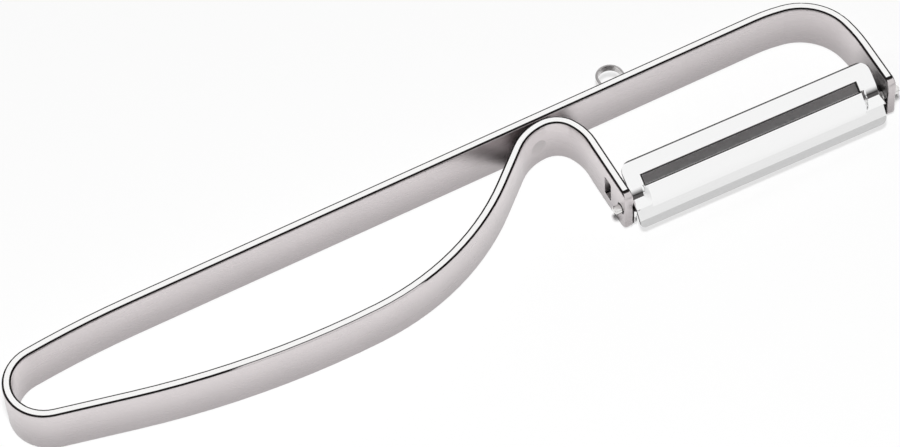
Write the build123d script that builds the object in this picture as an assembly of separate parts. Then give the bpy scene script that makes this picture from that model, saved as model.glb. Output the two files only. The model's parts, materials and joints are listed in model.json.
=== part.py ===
from build123d import *
from math import asin, atan2, cos, degrees, hypot, radians, sin, tan
import os

# Vegetable peeler of stainless steel, lying on its lower edges.
# One flat bar, set on edge, is bent into a long open loop that is the handle, is welded to itself
# at a crest, and ends in two arms. The arms carry a blade that swivels between them.
# Millimetres. X runs along the handle's straight side, Y away from the blade, Z up.
# Places are first measured from the left end of the handle, at the middle of the straight side.

# Bar stock
bar_width = 12.0
bar_thickness = 2.1
bar_edge_radius = 0.5

# Handle loop, all radii on the bar's middle line
loop_radius = 8.45
loop_ease_radius = 214.0
loop_ease_turn = 6.5
loop_run = 16.04
belly_depth = 27.6
belly_low_place = 70.3
sway_radius = 59.7

# Crest, where the bar comes back to the straight side and is welded to it
crest_place = 130.8
rise_run = 9.92
crest_rise_radius = 11.8
crest_radius = 6.05
crest_fall_radius = 12.5
crest_fall_turn = 30.0
weld_gap = 0.1
weld_diameter = 3.0

# Shoulder and the two arms
far_arm_place = 202.2
far_arm_direction = 88.0
far_arm_level = 14.2
shoulder_radius = 12.45
shoulder_ease_radius = 38.0
shoulder_ease_turn = 11.0
near_arm_direction = 91.25
tip_beyond_pivot = 2.05
tip_corner_radius = 2.0

# Swivel
pivot_depth = 26.55
pivot_lean = 1.5
pin_diameter = 2.0
pin_clearance = 0.05
pin_reach = 1.75
pin_end_chamfer = 0.25
pin_hole_bevel = 0.35
pin_head_diameter = 2.4
pin_head_thickness = 0.7
pin_seam_width = 0.4
pin_seam_depth = 0.55
pin_seam_direction = 50.0
rest_swing = -18.0
swing_half_range = 22.0

# Windows in the arms and the stop lugs that travel in them
window_distance = 5.9
window_width = 2.8
window_end_gap = 0.19
window_corner_radius = 0.5
lug_distance = 5.9
lug_width = 1.2
lug_reach = 1.2

# Blade
near_ear_gap = 0.18
far_ear_gap = 0.88
blade_thickness = 0.6
blade_arch_radius = 14.0
blade_reach = 2.6
blade_set = -13.8
sheet_near_margin = 0.05
sheet_far_margin = 0.85
back_edge_angle = 41.0
back_corner_radius = 2.4
slot_near_margin = 3.85
slot_far_margin = 5.05
slot_back_angle = 24.7
slot_front_angle = 16.1
wing_near_margin = 2.9
wing_far_margin = 3.6
wing_ramp = 1.2
wing_lift = 0.5
wing_bulge = 0.11
wing_end_sink = 0.15
wing_end_hollow = 0.54
fall_top_angle = 18.0
fall_bulge = 0.2
fall_slope = -13.8
shelf_width = 2.39
shelf_slope = 34.7
strip_reach = 3.34
strip_level = -0.5
facet_slope = 1.6
facet_width = 2.67
wing_foot = 0.61
flange_slope = -0.85
flange_width = 1.72
flange_near_corner_radius = 1.1
flange_far_corner_radius = 1.65
ear_bend_radius = 0.8
ear_slit = 0.15
ear_margin = 0.7
ear_corner_radius = 1.0
ear_tongue_reach = 5.2
ear_tongue_width = 3.8
ear_tongue_slope = 58.2

# Eye remover
eye_place = 151.54
eye_strip_width = 1.7
eye_strip_thickness = 0.55
eye_radius = 2.9
eye_leg = 4.32
eye_bevel = 0.25

# Overrun of the cutting solids, and how closely an edge has to match what it is found by
overrun = 5.0
match_share = 0.99

low_end = (Align.CENTER, Align.CENTER, Align.MIN)
half_width = bar_width / 2
half_thickness = bar_thickness / 2
pin_radius = pin_diameter / 2


def heading(angle):
    """Unit vector in the table plane at an angle from +X."""
    return Vector(cos(radians(angle)), sin(radians(angle)), 0)


def left_of(angle):
    """Unit vector to the left of a heading."""
    return heading(angle + 90)


def steps_end(steps, angle):
    """End point and heading of steps of straight runs and arcs that start at zero."""
    place = Vector(0, 0, 0)
    for length, radius, turn in steps:
        place += heading(angle) * length
        if turn:
            side = 1 if turn > 0 else -1
            centre = place + left_of(angle) * radius * side
            angle += turn
            place = centre - left_of(angle) * radius * side
    return place, angle


def steps_line(start, angle, steps, offset):
    """Edges of a line beside the steps, to their left by offset."""
    edges = []
    place = start + left_of(angle) * offset
    for length, radius, turn in steps:
        if length > 0:
            end = place + heading(angle) * length
            edges.append(Line(place, end))
            place = end
        if turn:
            side = 1 if turn > 0 else -1
            arc = JernArc(place, heading(angle), radius - side * offset, turn)
            edges.append(arc)
            place = arc @ 1
            angle += turn
    return edges


def tangent_angle(first, first_radius, second, second_radius):
    """Heading of the line from one circle to another that leaves each on its left.
    A negative radius is a circle on the right."""
    between = second - first
    reach = hypot(between.X, between.Y)
    direction = degrees(atan2(between.Y, between.X))
    return direction - degrees(asin((second_radius - first_radius) / reach))


def circles_meet(first, first_radius, second, second_radius):
    """Point where two circles cross, to the right of the way from the first to the second."""
    between = second - first
    reach = hypot(between.X, between.Y)
    along = (first_radius**2 - second_radius**2 + reach**2) / (reach * 2)
    aside = (first_radius**2 - along**2) ** 0.5
    way = between / reach
    return first + way * along + Vector(way.Y, -way.X, 0) * aside


# Shoulder: three arcs between the far arm and the straight side
shoulder_turn = 180 - far_arm_direction
shoulder_steps = [
    (0, shoulder_ease_radius, shoulder_ease_turn),
    (0, shoulder_radius, shoulder_turn - 2 * shoulder_ease_turn),
    (0, shoulder_ease_radius, shoulder_ease_turn),
]
shoulder_move = steps_end(shoulder_steps, far_arm_direction)[0]
arm_slope = cos(radians(far_arm_direction)) / sin(radians(far_arm_direction))
shoulder_start = Vector(
    far_arm_place + (far_arm_level - shoulder_move.Y) * arm_slope,
    -shoulder_move.Y,
    0,
)
shoulder_end = shoulder_start + shoulder_move


def pivot_depth_at(place):
    """Depth of the pivot line below the straight side's middle, at a place along X."""
    return pivot_depth + (place - crest_place) * tan(radians(pivot_lean))


# Loop: its centre stands so that the bar's outer face ends at zero
loop_centre = Vector(
    half_thickness + loop_radius,
    (loop_ease_radius - loop_radius) * cos(radians(loop_ease_turn)) - loop_ease_radius,
    0,
)
ease_start = Vector(
    loop_centre.X + (loop_ease_radius - loop_radius) * sin(radians(loop_ease_turn)), 0, 0
)

# Belly: a long shallow arc through its lowest place, then a tighter one up to the crest.
# Its radius follows from the straight run between the loop and the belly.
belly_way = belly_low_place - loop_centre.X
belly_drop = belly_depth + loop_centre.Y
belly_radius = (belly_way**2 + belly_drop**2 - loop_radius**2 - loop_run**2) / (
    (belly_drop - loop_radius) * 2
)
belly_centre = Vector(belly_low_place, belly_radius - belly_depth, 0)
belly_heading = tangent_angle(loop_centre, loop_radius, belly_centre, belly_radius)
belly_start = belly_centre - left_of(belly_heading) * belly_radius
loop_end = loop_centre - left_of(belly_heading) * loop_radius

# Crest: its top lies under the straight side with the weld gap between
crest_top = Vector(crest_place, -bar_thickness - weld_gap, 0)
rise_centre = crest_top - Vector(0, crest_rise_radius, 0)
sway_centre = circles_meet(
    belly_centre,
    belly_radius - sway_radius,
    rise_centre,
    hypot(sway_radius + crest_rise_radius, rise_run),
)
sway_way = sway_centre - belly_centre
belly_end_turn = degrees(atan2(sway_way.Y, sway_way.X)) + 90
rise_heading = tangent_angle(sway_centre, sway_radius, rise_centre, -crest_rise_radius)
sway_end = sway_centre - left_of(rise_heading) * sway_radius
rise_start = rise_centre + left_of(rise_heading) * crest_rise_radius
crest_steps = [
    (0, crest_rise_radius, -rise_heading),
    (0, crest_radius, crest_fall_turn - near_arm_direction),
    (0, crest_fall_radius, -crest_fall_turn),
]
crest_move = steps_end(crest_steps, rise_heading)[0]
near_arm_start = rise_start + crest_move

# Arms: each ends a little beyond the pivot line
near_tip_depth = pivot_depth_at(near_arm_start.X) + tip_beyond_pivot
near_arm_length = (near_tip_depth + near_arm_start.Y) / sin(radians(near_arm_direction))
far_tip_depth = pivot_depth_at(far_arm_place) + tip_beyond_pivot
far_arm_length = (far_tip_depth + shoulder_start.Y) / sin(radians(far_arm_direction))
far_tip = shoulder_start - heading(far_arm_direction) * far_arm_length

handle_steps = [
    (shoulder_end.X - ease_start.X, loop_ease_radius, loop_ease_turn),
    (0, loop_radius, 180 + belly_heading - loop_ease_turn),
    ((belly_start - loop_end).length, belly_radius, belly_end_turn - belly_heading),
    (0, sway_radius, rise_heading - belly_end_turn),
    ((rise_start - sway_end).length, 0, 0),
]
far_arm_steps = [(far_arm_length, 0, 0)]
near_arm_steps = [(near_arm_length, 0, 0)]
bar_steps = far_arm_steps + shoulder_steps + handle_steps + crest_steps + near_arm_steps

# Pivot frame: the blade's own X runs along the pivot line, from the near arm to the far one
far_pivot_depth = pivot_depth_at(far_arm_place)
far_arm_at_pivot = far_arm_place - (far_pivot_depth - far_arm_level) * arm_slope
near_arm_slope = cos(radians(near_arm_direction)) / sin(radians(near_arm_direction))
near_arm_at_pivot = near_arm_start.X + near_arm_slope * near_arm_length
far_pivot = Vector(far_arm_at_pivot, -pivot_depth_at(far_arm_at_pivot), half_width)
near_pivot = Vector(near_arm_at_pivot, -pivot_depth_at(near_arm_at_pivot), half_width)
pivot_middle = (near_pivot + far_pivot) * 0.5
pivot_frame = Location(pivot_middle, (0, 0, -pivot_lean))
arm_span = (far_pivot - near_pivot).length
arm_inner_place = arm_span / 2 - half_thickness
arm_outer_place = arm_span / 2 + half_thickness
blade_length = arm_inner_place * 2 - near_ear_gap - far_ear_gap
blade_shift = (near_ear_gap - far_ear_gap) / 2


def handle_band():
    """The bent bar with its rounded tips, edges, weld, pivot holes and windows."""
    left_side = steps_line(far_tip, far_arm_direction, bar_steps, half_thickness)
    right_side = steps_line(far_tip, far_arm_direction, bar_steps, -half_thickness)
    near_end = Line(left_side[-1] @ 1, right_side[-1] @ 1)
    far_end = Line(right_side[0] @ 0, left_side[0] @ 0)
    outline = Wire(left_side + [near_end] + right_side[::-1] + [far_end])
    bar = extrude(Face(outline), bar_width, dir=(0, 0, 1))
    tips = [edge for edge in bar.edges() if across_tip(edge)]
    bar = fillet(tips, tip_corner_radius)
    long_edges = [edge for edge in bar.edges() if bounds_wide_face(edge)]
    bar = fillet(long_edges, bar_edge_radius)
    bar += weld()
    return bar - arm_openings()


def across_tip(edge):
    """True for the four short edges across the bar's thickness at its tips."""
    middle = edge @ 0.5
    level = middle.Z < bar_edge_radius or middle.Z > bar_width - bar_edge_radius
    return level and is_across(edge, bar_thickness)


def bounds_wide_face(edge):
    """True for the edges round the bar's two wide faces."""
    upright = abs((edge % 0.5).Z) > match_share and edge.length > half_width
    return not upright and not is_across(edge, bar_thickness)


def is_across(edge, thickness):
    """True for a straight edge no longer than a thickness."""
    return edge.geom_type == GeomType.LINE and edge.length < thickness / match_share


def weld():
    """Spot weld between the crest and the straight side."""
    length = bar_thickness + weld_gap
    place = Location((crest_place, 0, half_width), (90, 0, 0))
    return place * Cylinder(weld_diameter / 2, length, align=low_end)


def arm_openings():
    """Pivot holes and windows through both arms, square to the pivot line."""
    hole = Cylinder(pin_radius + pin_clearance, arm_span + overrun, rotation=(0, 90, 0))
    keep_out = Box(arm_inner_place * 2 - overrun, overrun * 2, overrun * 2)
    window = extrude(window_outline(), (arm_span + overrun) / 2, both=True)
    window -= Box(arm_inner_place * 2 - overrun, bar_width * 2, bar_width * 2)
    bevel_reach = pin_hole_bevel + pin_clearance + pin_radius
    for side in (-1, 1):
        bevel = Cone(bevel_reach - pin_hole_bevel, bevel_reach, pin_hole_bevel, align=low_end)
        window += Pos(side * (arm_outer_place - pin_hole_bevel), 0, 0) * Rot(0, side * 90, 0) * bevel
    return pivot_frame * (hole - keep_out + window)


def window_outline():
    """Outline of a window, in the blade's YZ plane, as high as the lug's swing asks for."""
    turn = radians(swing_half_range)
    lug_rise = (lug_distance + lug_width / 2) * sin(turn) + blade_thickness / 2 * cos(turn)
    window_height = (lug_rise + window_end_gap) * 2
    outline = RectangleRounded(window_width, window_height, window_corner_radius)
    return Plane.YZ * Pos(window_distance, 0) * outline


def arch_point(angle, inward):
    """Point of the blade's arch at an angle from its middle, inward from its outer face."""
    radius = blade_arch_radius - inward
    centre = blade_arch_radius - blade_reach
    return Vector(0, centre - radius * cos(radians(angle)), radius * sin(radians(angle)))


def inward_of(slope):
    """Unit vector into the sheet from a face that looks up by a slope."""
    return Vector(0, cos(radians(slope)), -sin(radians(slope)))


def down_along(slope):
    """Unit vector down a face that looks up by a slope."""
    return Vector(0, -sin(radians(slope)), -cos(radians(slope)))


def strip_point(drop, inward):
    """Point of the front strip, down from its upper crease and in from its outer face."""
    crease = Vector(0, -strip_reach, strip_level)
    return crease + down_along(facet_slope) * drop + inward_of(facet_slope) * inward


def crease_move(first_slope, second_slope, inward):
    """Move from the outer line to the inner one where two faces of the sheet meet."""
    first = inward_of(first_slope)
    second = inward_of(second_slope)
    return (first + second) * (inward / (1 + first.dot(second)))


def strip_edges(top, inward):
    """Lines of the front strip, from a point on it down over its facet and its flange."""
    fold = strip_point(facet_width, inward)
    foot = fold + down_along(flange_slope) * flange_width
    return [Line(top, fold), Line(fold, foot)]


def bowed_line(start, end, bulge):
    """Arc down the sheet between two points, whose middle stands out by a bulge."""
    way = end - start
    outward = Vector(0, way.Z, -way.Y).normalized()
    return ThreePointArc(start, (start + end) * 0.5 + outward * bulge, end)


def closed_section(sides):
    """Face between an outer and an inner line, each a list of edges from back to front."""
    outer, inner = sides
    ends = [Line(outer[0] @ 0, inner[0] @ 0), Line(outer[-1] @ 1, inner[-1] @ 1)]
    return Face(Wire(outer + inner + ends))


def end_section():
    """Section of the sheet beyond the slot: back wing, fall, sunken shelf and front strip."""
    sides = []
    middle_angle = (back_edge_angle + fall_top_angle) / 2
    crease = strip_point(0, 0)
    corner = crease - down_along(shelf_slope) * shelf_width
    for inward in (0, blade_thickness):
        back = ThreePointArc(
            arch_point(back_edge_angle, inward),
            arch_point(middle_angle, inward),
            arch_point(fall_top_angle, inward),
        )
        valley = corner + crease_move(fall_slope, shelf_slope, inward)
        step = crease + crease_move(shelf_slope, facet_slope, inward)
        fall = bowed_line(back @ 1, valley, fall_bulge)
        sides.append([back, fall, Line(valley, step)] + strip_edges(step, inward))
    return closed_section(sides)


def wing_section(rise, bulge):
    """Section of the front wing and the strip below it, with the wing's rise above the arch."""
    sides = []
    for inward in (0, blade_thickness):
        foot = strip_point(wing_foot, inward)
        wing = bowed_line(arch_point(slot_front_angle, inward - rise), foot, bulge)
        sides.append([wing] + strip_edges(foot, inward))
    return closed_section(sides)


def between(section, near_margin, far_margin):
    """Solid of a section that ends short of the blade's two ends by a margin each."""
    half_length = (blade_length - near_margin - far_margin) / 2
    return Pos((near_margin - far_margin) / 2, 0, 0) * extrude(section, half_length, both=True)


def swivel_blade():
    """Arched sheet with a slot, a lifted front wing, end ears, pin holes and stop lugs."""
    sheet = between(end_section(), sheet_near_margin, sheet_far_margin)
    flange_radii = ((-1, flange_near_corner_radius), (1, flange_far_corner_radius))
    for side, flange_radius in flange_radii:
        sheet = fillet(sheet.edges().filter_by(corner_test(side, 1)), back_corner_radius)
        sheet = fillet(sheet.edges().filter_by(corner_test(side, -1)), flange_radius)
    sheet -= between(slot_wedge(), slot_near_margin, slot_far_margin)
    sheet += front_wing()
    for side in (-1, 1):
        sheet -= ear_room(side)
    for side in (-1, 1):
        sheet += ear(side)
        sheet += lug(side)
    return sheet - Cylinder(pin_radius, blade_length + overrun, rotation=(0, 90, 0))


def corner_test(side, upper):
    """Test for the edge across the sheet at one of its four corners."""

    def at_corner(edge):
        middle = edge @ 0.5
        return middle.X * side > 0 and middle.Z * upper > 0 and is_across(edge, blade_thickness)

    return at_corner


def slot_wedge():
    """Wedge about the arch's centre that clears the sheet in front of the slot's back edge."""
    centre = blade_arch_radius - blade_reach
    reach = blade_arch_radius + overrun
    turn = radians(slot_back_angle)
    wedge = Polyline(
        (centre, 0),
        (centre - reach * cos(turn), reach * sin(turn)),
        (centre - reach, -reach),
        (centre, -reach),
        close=True,
    )
    return Plane.YZ * make_face(wedge)


def front_wing():
    """The front wing, whose slot edge stands proud of the arch, with a ramp at each end."""
    high = wing_section(wing_lift, wing_bulge)
    low = wing_section(-wing_end_sink, -wing_end_hollow)
    wing = between(high, wing_near_margin + wing_ramp, wing_far_margin + wing_ramp)
    for side, margin in ((-1, wing_near_margin), (1, wing_far_margin)):
        end = blade_length / 2 - margin
        inner_face = Pos(side * (end - wing_ramp), 0, 0) * high
        outer_face = Pos(side * end, 0, 0) * low
        wing += loft([inner_face, outer_face], ruled=True)
    return wing


def ear_room(side):
    """Cut through the sheet where an ear bends away from the shelf, with a slit above and below."""
    crease = strip_point(0, 0)
    up = -down_along(shelf_slope)
    out = -inward_of(shelf_slope)
    low = crease - up * ear_slit
    high = crease + up * (shelf_width + ear_slit)
    outline = Polyline(
        low + out * blade_thickness,
        high + out * blade_thickness,
        high - out * blade_thickness * 2,
        low - out * blade_thickness * 2,
        close=True,
    )
    room = extrude(make_face(outline), ear_bend_radius + overrun, dir=(side, 0, 0))
    return Pos(side * (blade_length / 2 - ear_bend_radius), 0, 0) * room


def ear(side):
    """End plate bent square to the shelf, which reaches back to the pin and the lug."""
    return Pos(side * blade_length / 2, 0, 0) * (ear_plate(side) + ear_bend(side))


def ear_plate(side):
    """Flat part of an ear: from its bend back to the pin and the lug, with a tongue below the pin."""
    crease = strip_point(0, 0)
    inward = inward_of(shelf_slope) * ear_bend_radius
    low = crease + inward
    high = low - down_along(shelf_slope) * shelf_width
    back = lug_distance + lug_width / 2 + ear_margin
    lug_half = lug_width / 2 + ear_margin
    lug_rise = lug_distance * sin(radians(-blade_set))
    wall = pin_radius + ear_margin
    plate = make_face(
        Polyline(
            low,
            (0, 0, -wall),
            (0, back, lug_rise - lug_half),
            (0, back, lug_rise + lug_half),
            (0, 0, wall),
            high,
            close=True,
        )
    )
    plate = fillet([vertex for vertex in plate.vertices() if vertex.Y > pin_radius], ear_corner_radius)
    tongue = Rectangle(ear_tongue_reach, ear_tongue_width, align=(Align.MIN, Align.CENTER))
    tongue = fillet(tongue.vertices().group_by(Axis.X)[-1], ear_corner_radius)
    tongue = Plane.YZ * Rot(0, 0, -ear_tongue_slope) * tongue
    way = (-side, 0, 0)
    return extrude(plate, blade_thickness, dir=way) + extrude(tongue, blade_thickness, dir=way)


def ear_bend(side):
    """Quarter round bend between the shelf and an ear, with a run of shelf that leads to it."""
    ring = Circle(ear_bend_radius) - Circle(ear_bend_radius - blade_thickness)
    quarter = ring & Pos(side * ear_bend_radius, -ear_bend_radius) * Rectangle(
        ear_bend_radius * 2, ear_bend_radius * 2
    )
    run = Rectangle(sheet_far_margin, blade_thickness)
    quarter += Pos(-side * sheet_far_margin / 2, blade_thickness / 2 - ear_bend_radius) * run
    centre = strip_point(0, 0) + inward_of(shelf_slope) * ear_bend_radius
    along = -down_along(shelf_slope)
    frame = Plane(centre, x_dir=(1, 0, 0), z_dir=along)
    bend = extrude(frame * quarter, shelf_width, dir=along)
    return Pos(-side * ear_bend_radius, 0, 0) * bend


def lug(side):
    """Stop lug bent outward from an ear into the arm's window."""
    gap = arm_inner_place - blade_length / 2 - side * blade_shift
    length = gap + lug_reach + blade_thickness
    block = Box(length, lug_width, blade_thickness)
    middle = side * (blade_length / 2 - blade_thickness + length / 2)
    return Rot(-blade_set, 0, 0) * Pos(middle, lug_distance, 0) * block


def pivot_pin(side):
    """Headed pin through an ear and an arm, with a seam along its side."""
    ear_inner = blade_length / 2 - blade_thickness
    tip = arm_outer_place + pin_reach - side * blade_shift
    length = tip - ear_inner
    shank = Cylinder(pin_radius, length, align=low_end)
    shank = chamfer(shank.edges().group_by(Axis.Z)[-1], pin_end_chamfer)
    head_align = (Align.CENTER, Align.CENTER, Align.MAX)
    head = Cylinder(pin_head_diameter / 2, pin_head_thickness, align=head_align)
    seam_start = arm_outer_place - ear_inner - side * blade_shift
    seam = Box(
        pin_seam_depth * 2,
        pin_seam_width,
        pin_reach + overrun,
        align=low_end,
    )
    shank -= Pos(-pin_radius, 0, seam_start) * seam
    turned = Rot(0, 0, side * (pin_seam_direction - 90)) * (shank + head)
    return Rot(0, side * 90, 0) * Pos(0, 0, ear_inner) * turned


def eye_remover():
    """Bent strip welded on edge to the outside of the straight side."""
    inner = eye_radius - eye_strip_thickness / 2
    outer = eye_radius + eye_strip_thickness / 2
    ring = Circle(outer) - Circle(inner)
    half_ring = ring & Pos(0, outer) * Rectangle(outer * 2, outer * 2)
    leg = Rectangle(eye_strip_thickness, eye_leg, align=(Align.CENTER, Align.MAX))
    outline = half_ring + Pos(-eye_radius, 0) * leg + Pos(eye_radius, 0) * leg
    strip = extrude(outline, eye_strip_width)
    upper = strip.edges().filter_by(GeomType.CIRCLE).group_by(Axis.Z)[-1]
    strip = chamfer(upper.sort_by(Edge.length)[-1], eye_bevel)
    lift = half_width - eye_strip_width / 2
    return Pos(eye_place, half_thickness + eye_leg, lift) * strip


def placed(solid):
    """A piece of the blade's own frame, at its resting swing between the arms."""
    return pivot_frame * Rot(rest_swing + blade_set, 0, 0) * Pos(blade_shift, 0, 0) * solid


parts = {
    "handle_band": handle_band(),
    "swivel_blade": placed(swivel_blade()),
    "pivot_pin_left": placed(pivot_pin(-1)),
    "pivot_pin_right": placed(pivot_pin(1)),
    "eye_remover": eye_remover(),
}

box = Compound(children=[Part(part.wrapped) for part in parts.values()]).bounding_box()
origin = Vector(box.center().X, box.center().Y, box.min.Z)
os.makedirs("parts", exist_ok=True)
for name, part in parts.items():
    moved = Pos(-origin) * part
    moved.label = name
    export_step(moved, f"parts/{name}.step")
pivot = pivot_middle - origin
print("size", box.size)
print("pivot", pivot, "axis", heading(-pivot_lean))
print("swing from", -swing_half_range - rest_swing, "to", swing_half_range - rest_swing)
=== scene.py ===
import bpy
import json
from math import radians, sin
from mathutils import Matrix, Vector

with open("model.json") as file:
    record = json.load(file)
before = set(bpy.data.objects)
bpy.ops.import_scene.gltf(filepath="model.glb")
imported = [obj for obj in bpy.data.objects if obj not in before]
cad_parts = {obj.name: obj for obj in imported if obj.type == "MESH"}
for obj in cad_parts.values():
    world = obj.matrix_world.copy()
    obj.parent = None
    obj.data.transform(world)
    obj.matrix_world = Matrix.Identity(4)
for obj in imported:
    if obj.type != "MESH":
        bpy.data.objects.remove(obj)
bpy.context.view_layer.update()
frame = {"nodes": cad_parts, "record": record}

# Looks of a stainless steel vegetable peeler that lies on a white table. Metres, in the model's frame.
# Some tones follow the light of the photograph, in which the blade is at rest.

# Camera of the photograph
camera_place = Vector((-0.20840, -0.45670, 0.69775))
camera_elevation = 54.0
camera_azimuth = -24.54
camera_roll = -4.196
camera_lens = 160.0
camera_sensor = 36.0
camera_clip = 0.01

# White table, which mirrors see darken with distance
floor_drop = 0.00002
floor_half = 3.0
table_white_radius = 0.10
table_dark_radius = 0.55
table_far_share = 0.03
table_glow = 0.70
table_bounce = 0.8

# White tent that darkens towards its foot, as limits of how far a direction points up
tent_foot_levels = (-0.04, 0.14)
tent_foot_strength = 0.05
tent_wall_strength = 1.06
tent_top_levels = (0.12, 0.35)
tent_top_gain = 0.15
tent_fill = 0.10

# Lamp on the camera's side
lamp_elevation = 68.0
lamp_distance = 1.0
lamp_size = 0.14
lamp_power = 9.3

# Deep shade on the table under the blade, as distances behind the pivot line and along it
shade_near = 0.003
shade_far = 0.0155
shade_blur = 0.003
shade_end_near = 0.036
shade_end_far = 0.044

# Steel colours
satin_top_colour = (0.67, 0.63, 0.635)
# Painted shade at the foot of the handle's wide faces, blended up to the top colour by height
satin_foot_painted_shade_colour = (0.39, 0.365, 0.37)
polished_colour = (0.97, 0.965, 0.96)
# Painted dark reflection on the bar's corners, also used for the painted shade on the far arm's inner face
painted_dark_colour = (0.015, 0.013, 0.013)
blade_colour = (0.95, 0.95, 0.95)
# Painted shade on the blade's hollow side
hollow_shade_colour = (0.52, 0.505, 0.51)
# Painted shade on the blade's cut edges and slot outline, and painted dark reflection on its back rim
painted_dark_edge_colour = (0.03, 0.027, 0.027)
# Painted dark reflection in the valleys beside the slot
valley_painted_reflection_colour = (0.10, 0.095, 0.095)
# Painted shade in the near arm's hole mouth round the pin
hole_shade_colour = (0.03, 0.027, 0.027)
pin_colour = (0.80, 0.79, 0.78)
# Painted shade on the floor of each pin's seam
seam_shade_colour = (0.04, 0.035, 0.035)
eye_colour = (0.74, 0.725, 0.72)
eye_rim_colour = (0.40, 0.385, 0.385)

# How much each colour varies about itself
satin_spread = 0.04
polished_spread = 0.02
blade_spread = 0.02
speckle_spread = 0.2
pin_spread = 0.04
eye_spread = 0.05

# Roughness of each finish, from the grain's smoothest place to its roughest
satin_gloss = (0.26, 0.35)
polished_gloss = (0.11, 0.17)
blade_gloss = (0.09, 0.16)
pin_gloss = (0.19, 0.26)
eye_gloss = (0.25, 0.33)

# Brushing and grain: waves a metre along X, Y and Z, depth, and the noise values that they stretch
brushed_waves = (40.0, 40.0, 9000.0)
cloud_waves = (60.0, 60.0, 60.0)
blade_waves = (60.0, 4000.0, 4000.0)
speckle_waves = (7000.0, 7000.0, 7000.0)
pin_waves = (3000.0, 3000.0, 3000.0)
eye_waves = (300.0, 300.0, 5000.0)
brushed_depth = 0.000002
grain_depth = 0.000001
grain_strength = 0.3
blade_grain_strength = 0.2
tone_range = (0.3, 0.7)
grain_range = (0.25, 0.75)
speckle_range = (0.35, 0.65)

# Bar's corners, darkened by a painted dark reflection, and bright flat edges, as levels of the normal from
# 0 on a side to 1 on top
near_corner_levels = (0.50, 0.64)
far_corner_levels = (0.42, 0.58)
tip_corner_levels = (0.90, 0.95)
flat_levels = (0.9980, 0.9998)
side_blur = 0.1
handle_height = 0.0125

# Faint round spot on the crest, seen along Y
spot_place = Vector((0.0266, 0.0, 0.0058))
spot_radius = 0.0020
spot_blur = 0.00015
spot_shade = 0.66
spot_front = 0.0045
spot_back = 0.0096
spot_end_blur = 0.0002

# Arm tips, hole mouths and pin seams, measured from the pivot line
tip_rise = 0.0005
hole_mouth_radius = 0.00142
hole_blur = 0.00003
near_arm_place = -0.0345
near_arm_blur = 0.001
seam_floor_radius = 0.00093
seam_blur = 0.00004
pin_end_levels = (0.3, 0.6)

# Painted shade: the far arm's inner face is darker beside the blade
arm_shade_near = 0.005
arm_shade_far = 0.014
arm_shade_share = 0.30
far_arm_places = (0.0225, 0.0265)
inner_face_levels = (-0.9, -0.6)

# Blade's arch, measured from the pivot line: its centre lies behind and below it
arch_centre_back = 0.00969
arch_centre_drop = 0.00601
arch_radius = 0.0140
arch_sheet = 0.0006
# Back rim's painted dark reflection starts at this rise of the radial direction
back_rim_rise = 71.0
back_rim_blur = 1.2

# Faces of the blade's sheet, told by how far the normal points away from the arch's centre
cut_face_levels = (0.35, 0.6)
outline_face_levels = (0.3, 0.5)
valley_face_levels = (0.5, 0.7)
hollow_face_levels = (-0.7, -0.5)

# Valleys at both ends of the slot: a painted dark reflection, where the sheet faces the dark foot of the
# tent
valley_levels = (0.45, 0.72)
valley_foot_rise = 37.0
valley_foot_blur = 1.0
wing_near_end = -0.0281
wing_far_end = 0.0267
wing_end_blur = 0.00008

# Slot's outline of painted shade on the blade, as rises of the radial direction and places along the pivot
# line
slot_front_rise = 46.8
slot_back_rise = 57.8
slot_rise_blur = 0.0008
slot_near_end = -0.02745
slot_far_end = 0.02554
slot_end_blur = 0.00004

# Eye remover's upper rim, as levels of the normal
eye_rim_levels = (0.3, 0.6)

handle = frame["nodes"]["handle_band"]
blade = frame["nodes"]["swivel_blade"]
eye = frame["nodes"]["eye_remover"]
pins = [frame["nodes"]["pivot_pin_left"], frame["nodes"]["pivot_pin_right"]]

# Pivot line of the blade, and the level direction square to it, away from the blade's edge
swivel = frame["record"]["behaviour"]["joints"][0]
pivot = Vector(swivel["pos_m"])
pivot_axis = Vector(swivel["axis"]).normalized()
pivot_back = Vector((0.0, 0.0, 1.0)).cross(pivot_axis)


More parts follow.
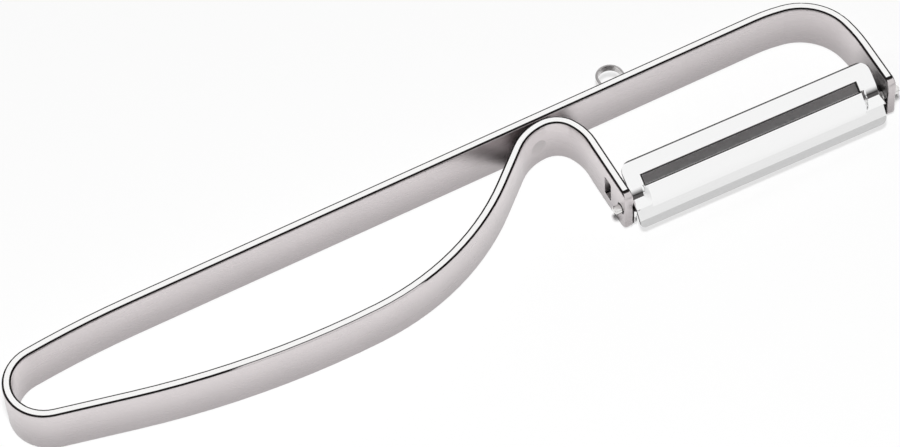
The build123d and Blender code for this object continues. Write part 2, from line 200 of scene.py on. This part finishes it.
class Nodes:
    """A material's or world's node tree, with short calls to add and link its nodes."""

    def __init__(self, owner):
        owner.use_nodes = True
        self.tree = owner.node_tree
        self.tree.nodes.clear()

    def add(self, kind, **settings):
        node = self.tree.nodes.new(kind)
        for name, value in settings.items():
            setattr(node, name, value)
        return node

    def link(self, source, target):
        self.tree.links.new(source, target)

    def feed(self, target, value):
        if isinstance(value, bpy.types.NodeSocket):
            self.link(value, target)
        else:
            target.default_value = value

    def coordinates(self, kind):
        return self.add("ShaderNodeTexCoord").outputs[kind]

    def math(self, operation, first, second=0.0):
        node = self.add("ShaderNodeMath", operation=operation)
        self.feed(node.inputs[0], first)
        self.feed(node.inputs[1], second)
        return node.outputs[0]

    def both(self, *shares):
        """Product of shares: one only where each of them is."""
        product = shares[0]
        for share in shares[1:]:
            product = self.math("MULTIPLY", product, share)
        return product

    def span(self, value, low, high, start=0.0, end=1.0):
        node = self.add("ShaderNodeMapRange", interpolation_type="SMOOTHSTEP")
        self.feed(node.inputs["Value"], value)
        node.inputs["From Min"].default_value = low
        node.inputs["From Max"].default_value = high
        node.inputs["To Min"].default_value = start
        node.inputs["To Max"].default_value = end
        return node.outputs["Result"]

    def inside(self, value, low, high, blur):
        """One between two limits, with soft ends, and zero elsewhere."""
        above = self.span(value, low - blur, low + blur)
        below = self.span(value, high - blur, high + blur, 1.0, 0.0)
        return self.both(above, below)

    def blend(self, share, first, second):
        node = self.add("ShaderNodeMix", data_type="FLOAT")
        self.feed(node.inputs[0], share)
        self.feed(node.inputs[2], first)
        self.feed(node.inputs[3], second)
        return node.outputs[0]

    def colour_between(self, share, first, second):
        node = self.add("ShaderNodeMix", data_type="RGBA")
        self.feed(node.inputs[0], share)
        self.feed(node.inputs[6], with_alpha(first))
        self.feed(node.inputs[7], with_alpha(second))
        return node.outputs[2]

    def varied(self, share, colour, spread):
        """A colour that varies about itself by a spread."""
        low = [c * (1.0 - spread) for c in colour]
        high = [c * (1.0 + spread) for c in colour]
        return self.colour_between(share, low, high)

    def noise(self, waves, detail=3.0):
        stretched = self.add("ShaderNodeMapping")
        stretched.inputs["Scale"].default_value = waves
        self.link(self.coordinates("Object"), stretched.inputs["Vector"])
        node = self.add("ShaderNodeTexNoise")
        node.inputs["Scale"].default_value = 1.0
        node.inputs["Detail"].default_value = detail
        node.inputs["Roughness"].default_value = 0.5
        self.link(stretched.outputs[0], node.inputs["Vector"])
        return node.outputs["Fac"]

    def vector(self, operation, first, second=None):
        node = self.add("ShaderNodeVectorMath", operation=operation)
        self.feed(node.inputs[0], first)
        if second is not None:
            self.feed(node.inputs["Scale" if operation == "SCALE" else 1], second)
        return node.outputs["Value" if operation in ("DOT_PRODUCT", "LENGTH") else "Vector"]

    def parts(self, vector):
        node = self.add("ShaderNodeSeparateXYZ")
        self.link(vector, node.inputs[0])
        return node.outputs

    def bump(self, height, distance, strength):
        node = self.add("ShaderNodeBump")
        node.inputs["Strength"].default_value = strength
        node.inputs["Distance"].default_value = distance
        self.link(height, node.inputs["Height"])
        return node.outputs["Normal"]

    def diffuse(self, colour):
        node = self.add("ShaderNodeBsdfDiffuse")
        self.feed(node.inputs["Color"], colour)
        return node.outputs[0]

    def shader_between(self, share, first, second):
        node = self.add("ShaderNodeMixShader")
        self.link(share, node.inputs[0])
        self.link(first, node.inputs[1])
        self.link(second, node.inputs[2])
        return node.outputs[0]

    def finish(self, kind, shader):
        """Links a shader to a new output node."""
        self.link(shader, self.add(kind).inputs["Surface"])


def with_alpha(colour):
    """A colour as four numbers, or a socket as it is."""
    if isinstance(colour, bpy.types.NodeSocket):
        return colour
    return (*colour, 1.0)


def steel_shader(nodes, colour, roughness, normal):
    """Metal surface whose colour, roughness and normal vary over it."""
    shader = nodes.add("ShaderNodeBsdfPrincipled")
    shader.inputs["Metallic"].default_value = 1.0
    nodes.feed(shader.inputs["Base Color"], colour)
    nodes.feed(shader.inputs["Roughness"], roughness)
    nodes.link(normal, shader.inputs["Normal"])
    nodes.finish("ShaderNodeOutputMaterial", shader.outputs[0])


def normal_level(nodes):
    """How far the surface's normal points up or down, from 0 to 1."""
    return nodes.math("ABSOLUTE", nodes.parts(nodes.coordinates("Normal"))["Z"])


def from_line(nodes, centre):
    """Vector to the surface from the line through a centre along the pivot axis, and the place along it."""
    offset = nodes.vector("SUBTRACT", nodes.coordinates("Object"), centre)
    along = nodes.vector("DOT_PRODUCT", offset, pivot_axis)
    return nodes.vector("SUBTRACT", offset, nodes.vector("SCALE", pivot_axis, along)), along


def rise_span(nodes, rise, angle, blur):
    """One where a radial direction's rise is above an angle in degrees, with a soft start."""
    return nodes.span(rise, sin(radians(angle)), sin(radians(angle + blur)))


def brushed_sides(nodes, streaks, clouds, place):
    """Colour of the handle's wide faces: lighter towards the top, as painted shade darkens them towards the
    foot, with the spot on the crest.
    """
    streak_half = nodes.span(streaks, *tone_range, 0.0, 0.5)
    cloud_half = nodes.span(clouds, *tone_range, 0.0, 0.5)
    tone = nodes.math("ADD", streak_half, cloud_half)
    foot = nodes.varied(tone, satin_foot_painted_shade_colour, satin_spread)
    top = nodes.varied(tone, satin_top_colour, satin_spread)
    # Painted shade: darker towards the foot, lighter towards the top
    shaded_satin = nodes.colour_between(nodes.span(place["Z"], 0.0, handle_height), foot, top)
    from_spot = nodes.vector("SUBTRACT", nodes.coordinates("Object"), spot_place)
    from_spot = nodes.vector("LENGTH", nodes.vector("MULTIPLY", from_spot, Vector((1.0, 0.0, 1.0))))
    in_spot = nodes.both(
        nodes.span(from_spot, spot_radius - spot_blur, spot_radius, 1.0, 0.0),
        nodes.inside(place["Y"], spot_front, spot_back, spot_end_blur),
    )
    return nodes.colour_between(in_spot, shaded_satin, [c * spot_shade for c in satin_top_colour])


def rolled_corners(nodes, level, place, direction):
    """One on the bar's corners and flat edges, zero on its wide faces; the corners take a painted dark
    reflection.
    """
    upright = nodes.math("ABSOLUTE", direction["Y"])
    sideways = nodes.math("ABSOLUTE", direction["X"])
    end_on = nodes.math("SUBTRACT", upright, sideways)
    at_tip = nodes.both(
        nodes.span(place["Y"], pivot.y + tip_rise, pivot.y + tip_rise * 2, 1.0, 0.0),
        nodes.span(end_on, -side_blur, side_blur),
    )
    behind = nodes.span(direction["Y"], -side_blur, side_blur)
    near = nodes.span(level, *near_corner_levels)
    far = nodes.span(level, *far_corner_levels)
    return nodes.blend(at_tip, nodes.blend(behind, near, far), nodes.span(level, *tip_corner_levels))


def head_shades(nodes, colour, direction):
    """A colour made darker by painted shade on the far arm's inner face beside the blade, and in the hole
    mouths.
    """
    axle, along = from_line(nodes, pivot)
    distance = nodes.vector("LENGTH", axle)
    on_inner_face = nodes.both(
        nodes.span(along, *far_arm_places),
        nodes.span(direction["X"], *inner_face_levels, 1.0, 0.0),
    )
    beside = nodes.span(distance, arm_shade_near, arm_shade_far, arm_shade_share, 1.0)
    # Painted shade on the far arm's inner face beside the blade
    colour = nodes.colour_between(nodes.blend(on_inner_face, 1.0, beside), painted_dark_colour, colour)
    # Painted shade in the hole mouth
    in_hole = nodes.both(
        nodes.span(distance, hole_mouth_radius, hole_mouth_radius + hole_blur, 1.0, 0.0),
        nodes.span(along, near_arm_place - near_arm_blur, near_arm_place),
    )
    return nodes.colour_between(in_hole, colour, hole_shade_colour)


def handle_steel():
    """Bent bar: wide faces brushed along their length, corners darkened by a painted dark reflection,
    polished edges.
    """
    material = bpy.data.materials.new("handle_steel_look")
    nodes = Nodes(material)
    place = nodes.parts(nodes.coordinates("Object"))
    direction = nodes.parts(nodes.coordinates("Normal"))
    level = normal_level(nodes)
    streaks = nodes.noise(brushed_waves)
    clouds = nodes.noise(cloud_waves, detail=4.0)
    corner = rolled_corners(nodes, level, place, direction)
    # Painted dark reflection on the corners
    colour = nodes.colour_between(corner, brushed_sides(nodes, streaks, clouds, place), painted_dark_colour)
    polished = nodes.varied(clouds, polished_colour, polished_spread)
    colour = nodes.colour_between(nodes.span(level, *flat_levels), colour, polished)
    colour = head_shades(nodes, colour, direction)
    side_gloss = nodes.span(streaks, *grain_range, *satin_gloss)
    edge_gloss = nodes.span(clouds, *grain_range, *polished_gloss)
    gloss = nodes.blend(corner, side_gloss, edge_gloss)
    steel_shader(nodes, colour, gloss, nodes.bump(streaks, brushed_depth, grain_strength))
    return material


def eye_steel():
    """Bent strip: light sides and a greyer upper rim."""
    material = bpy.data.materials.new("eye_steel_look")
    nodes = Nodes(material)
    grain = nodes.noise(eye_waves)
    rim = nodes.span(normal_level(nodes), *eye_rim_levels)
    sides = nodes.varied(grain, eye_colour, eye_spread)
    colour = nodes.colour_between(rim, sides, nodes.varied(grain, eye_rim_colour, eye_spread))
    gloss = nodes.span(grain, *grain_range, *eye_gloss)
    steel_shader(nodes, colour, gloss, nodes.bump(grain, grain_depth, grain_strength))
    return material


def pin_steel():
    """Turned pin with a seam along its outer end, whose floor is darkened by painted shade."""
    material = bpy.data.materials.new("pin_steel_look")
    nodes = Nodes(material)
    grain = nodes.noise(pin_waves)
    end_face = nodes.vector("DOT_PRODUCT", nodes.coordinates("Normal"), pivot_axis)
    depth = nodes.vector("LENGTH", from_line(nodes, pivot)[0])
    in_seam = nodes.both(
        nodes.span(depth, seam_floor_radius, seam_floor_radius + seam_blur, 1.0, 0.0),
        nodes.span(nodes.math("ABSOLUTE", end_face), *pin_end_levels, 1.0, 0.0),
    )
    # Painted shade in the seam
    colour = nodes.colour_between(in_seam, nodes.varied(grain, pin_colour, pin_spread), seam_shade_colour)
    gloss = nodes.span(grain, *grain_range, *pin_gloss)
    steel_shader(nodes, colour, gloss, nodes.bump(grain, grain_depth, grain_strength))
    return material


def dark_lines(nodes, reach, rise, facing, along):
    """One where painted shade goes on the blade's cut edges and round its slot, and where a painted dark
    reflection goes on the rim along its back.
    """
    on_cut = nodes.both(
        nodes.span(nodes.math("ABSOLUTE", facing), *cut_face_levels, 1.0, 0.0),
        nodes.span(reach, arch_radius - arch_sheet * 2, arch_radius - arch_sheet),
    )
    on_rim = rise_span(nodes, rise, back_rim_rise, back_rim_blur)
    front = sin(radians(slot_front_rise))
    back = sin(radians(slot_back_rise))
    outline = nodes.both(
        nodes.inside(rise, front, back, slot_rise_blur),
        nodes.inside(along, slot_near_end, slot_far_end, slot_end_blur),
        nodes.span(facing, *outline_face_levels),
    )
    return nodes.math("MAXIMUM", nodes.math("MAXIMUM", on_cut, on_rim), outline)


def valleys(nodes, rise, facing, along):
    """One in the two low places beside the slot, on the sheet's outer side, where the painted dark
    reflection goes.
    """
    level = nodes.parts(nodes.coordinates("Normal"))["Z"]
    on_wing = nodes.inside(along, wing_near_end, wing_far_end, wing_end_blur)
    return nodes.both(
        nodes.span(level, *valley_levels, 1.0, 0.0),
        nodes.span(facing, *valley_face_levels),
        rise_span(nodes, rise, valley_foot_rise, valley_foot_blur),
        nodes.math("SUBTRACT", 1.0, on_wing),
    )


def blade_steel():
    """Bright sheet with a greyer hollow side of painted shade, valleys of painted dark reflection, painted
    shade on its cut edges and a painted dark reflection on its back rim.
    """
    material = bpy.data.materials.new("blade_steel_look")
    nodes = Nodes(material)
    centre = pivot + pivot_back * arch_centre_back - Vector((0.0, 0.0, arch_centre_drop))
    radial, along = from_line(nodes, centre)
    reach = nodes.vector("LENGTH", radial)
    outward = nodes.vector("NORMALIZE", radial)
    rise = nodes.parts(outward)["Z"]
    facing = nodes.vector("DOT_PRODUCT", outward, nodes.coordinates("Normal"))
    grain = nodes.noise(blade_waves)
    speckle = nodes.span(nodes.noise(speckle_waves, detail=1.0), *speckle_range)
    bright = nodes.varied(grain, blade_colour, blade_spread)
    # Painted shade on the hollow side
    shaded_hollow = nodes.varied(speckle, hollow_shade_colour, speckle_spread)
    colour = nodes.colour_between(nodes.span(facing, *hollow_face_levels, 1.0, 0.0), bright, shaded_hollow)
    # Painted dark reflection in the valleys
    colour = nodes.colour_between(valleys(nodes, rise, facing, along), colour, valley_painted_reflection_colour)
    # Painted shade on the cut edges and slot outline, painted dark reflection on the back rim
    colour = nodes.colour_between(dark_lines(nodes, reach, rise, facing, along), colour, painted_dark_edge_colour)
    gloss = nodes.span(grain, *grain_range, *blade_gloss)
    steel_shader(nodes, colour, gloss, nodes.bump(grain, grain_depth, blade_grain_strength))
    return material


def dress(node, material):
    """Gives a carried-over node its material in every slot."""
    if not node.data.materials:
        node.data.materials.append(material)
    for slot in node.material_slots:
        slot.link = "OBJECT"
        slot.material = material


def table_white():
    """White that keeps the object's shadow, lifted for the camera except under the blade."""
    material = bpy.data.materials.new("table_white")
    nodes = Nodes(material)
    place = nodes.coordinates("Object")
    rays = nodes.add("ShaderNodeLightPath").outputs
    distance = nodes.vector("LENGTH", place)
    near = nodes.span(distance, table_white_radius, table_dark_radius, 1.0, table_far_share)
    glow = nodes.add("ShaderNodeEmission")
    glow.inputs["Strength"].default_value = table_glow
    lifted = nodes.add("ShaderNodeAddShader")
    nodes.link(nodes.diffuse(with_alpha([1.0 - table_glow] * 3)), lifted.inputs[0])
    nodes.link(glow.outputs[0], lifted.inputs[1])
    white = nodes.diffuse((1.0, 1.0, 1.0, 1.0))
    seen = nodes.shader_between(under_blade(nodes, place), lifted.outputs[0], white)
    plain = nodes.diffuse(with_alpha([table_bounce] * 3))
    unseen = nodes.shader_between(rays["Is Glossy Ray"], plain, nodes.diffuse(near))
    shader = nodes.shader_between(rays["Is Camera Ray"], unseen, seen)
    nodes.finish("ShaderNodeOutputMaterial", shader)
    return material


def under_blade(nodes, place):
    """One on the strip of table behind and under the blade, zero elsewhere."""
    offset = nodes.vector("SUBTRACT", place, (pivot.x, pivot.y, 0.0))
    back = nodes.vector("DOT_PRODUCT", offset, pivot_back)
    side = nodes.math("ABSOLUTE", nodes.vector("DOT_PRODUCT", offset, pivot_axis))
    return nodes.both(
        nodes.span(back, shade_near - shade_blur, shade_near),
        nodes.span(back, shade_far - shade_blur, shade_far, 1.0, 0.0),
        nodes.span(side, shade_end_near, shade_end_far, 1.0, 0.0),
    )


def table():
    """Plain table just below the object."""
    mesh = bpy.data.meshes.new("table")
    signs = ((-1, -1), (1, -1), (1, 1), (-1, 1))
    corners = [(x * floor_half, y * floor_half, -floor_drop) for x, y in signs]
    mesh.from_pydata(corners, [], [(0, 1, 2, 3)])
    floor = bpy.data.objects.new("table", mesh)
    bpy.context.scene.collection.objects.link(floor)
    floor.data.materials.append(table_white())


def tent():
    """World: a white tent with a dark foot in mirrors, dim for the table, white for the camera."""
    world = bpy.data.worlds.new("tent")
    bpy.context.scene.world = world
    nodes = Nodes(world)
    level = nodes.parts(nodes.coordinates("Generated"))["Z"]
    foot = nodes.span(level, *tent_foot_levels, tent_foot_strength, tent_wall_strength)
    top = nodes.span(level, *tent_top_levels, 0.0, tent_top_gain)
    rays = nodes.add("ShaderNodeLightPath").outputs
    lit = nodes.blend(rays["Is Glossy Ray"], tent_fill, nodes.math("ADD", foot, top))
    sky = nodes.add("ShaderNodeBackground")
    nodes.link(nodes.blend(rays["Is Camera Ray"], lit, 1.0), sky.inputs["Strength"])
    nodes.finish("ShaderNodeOutputWorld", sky.outputs[0])


def aimed(elevation):
    """Turn that looks down at the object from the camera's side, at an elevation."""
    turn = Matrix.Rotation(radians(camera_azimuth), 4, "Z")
    return turn @ Matrix.Rotation(radians(90.0 - elevation), 4, "X")


def lamp():
    """One soft lamp on the camera's side, higher than the camera and hidden from mirrors."""
    light = bpy.data.lights.new("lamp", "AREA")
    light.shape = "DISK"
    light.size = lamp_size
    light.energy = lamp_power
    holder = bpy.data.objects.new("lamp", light)
    holder.visible_glossy = False
    holder.matrix_world = aimed(lamp_elevation) @ Matrix.Translation((0.0, 0.0, lamp_distance))
    bpy.context.scene.collection.objects.link(holder)


def photograph_camera():
    """Camera at the photograph's place, turned by its elevation, azimuth and roll."""
    data = bpy.data.cameras.new("camera")
    data.sensor_fit = "HORIZONTAL"
    data.sensor_width = camera_sensor
    data.lens = camera_lens
    data.clip_start = camera_clip
    camera = bpy.data.objects.new("camera", data)
    turn = aimed(camera_elevation) @ Matrix.Rotation(radians(camera_roll), 4, "Z")
    camera.matrix_world = Matrix.Translation(camera_place) @ turn
    bpy.context.scene.collection.objects.link(camera)
    bpy.context.scene.camera = camera


photograph_camera()
tent()
lamp()
table()
dress(handle, handle_steel())
dress(blade, blade_steel())
dress(eye, eye_steel())
pin_look = pin_steel()
for pin in pins:
    dress(pin, pin_look)

bpy.context.scene.view_settings.view_transform = "Standard"
